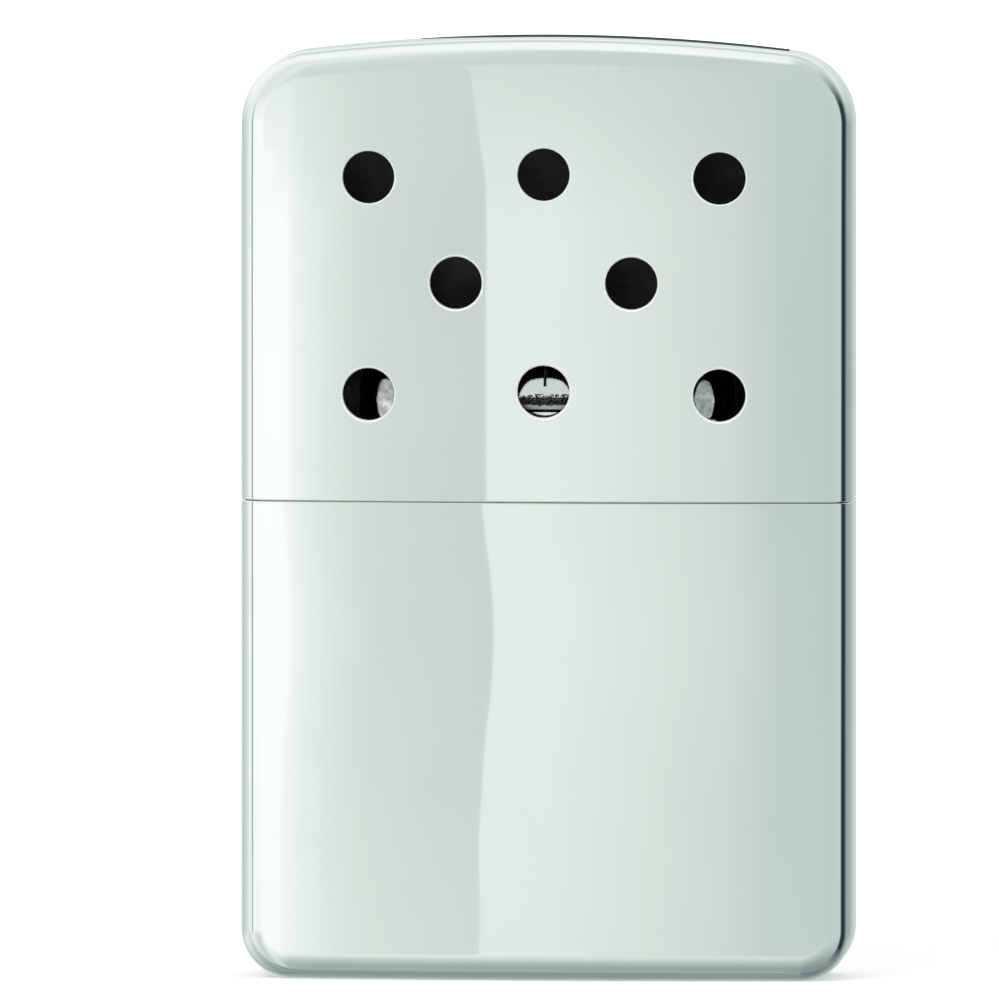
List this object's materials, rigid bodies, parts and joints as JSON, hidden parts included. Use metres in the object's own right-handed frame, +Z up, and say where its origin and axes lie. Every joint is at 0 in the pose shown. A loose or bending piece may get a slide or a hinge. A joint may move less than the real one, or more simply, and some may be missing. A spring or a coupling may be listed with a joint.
{
  "type": "catalytic hand warmer",
  "caption": "Pocket catalytic hand warmer: chromed drawn tank with a vented slip-on lid over a lift-off burner head that holds a glass-fibre catalyst mat.",
  "frame": {"origin": "middle of the flat base of the tank, the face the closed warmer stands on", "axes": "+Z up along the case's height, +X across its width to the right, the vented front faces -Y"},
  "size_m": [0.051, 0.014, 0.0785],
  "materials": {
    "case_chrome": "mirror-polished chrome plate",
    "nickel_sheet": "satin nickel plate",
    "cotton": "loose cotton batting",
    "burner_steel": "bright rolled stainless sheet",
    "gauze_wire": "fine woven wire",
    "catalyst_fibre": "grey coated glass fibre"
  },
  "bodies": {
    "tank": {"tank_shell": "case_chrome", "tank_top": "nickel_sheet", "filler_neck": "nickel_sheet", "cotton_packing": "cotton"},
    "burner": {"burner_skirt": "burner_steel", "mat_tray": "burner_steel", "burner_gauze": "gauze_wire", "catalyst_mat": "catalyst_fibre", "burner_cap": "burner_steel"},
    "lid": {"lid_shell": "case_chrome"}
  },
  "joints": [
    {"name": "lid_lift", "type": "slide", "parent": "tank", "child": "lid", "axis": [0, 0, 1], "range_m": [0, 0.045]},
    {"name": "burner_pull", "type": "slide", "parent": "tank", "child": "burner", "axis": [0, 0, 1], "range_m": [0, 0.01]}
  ]
}
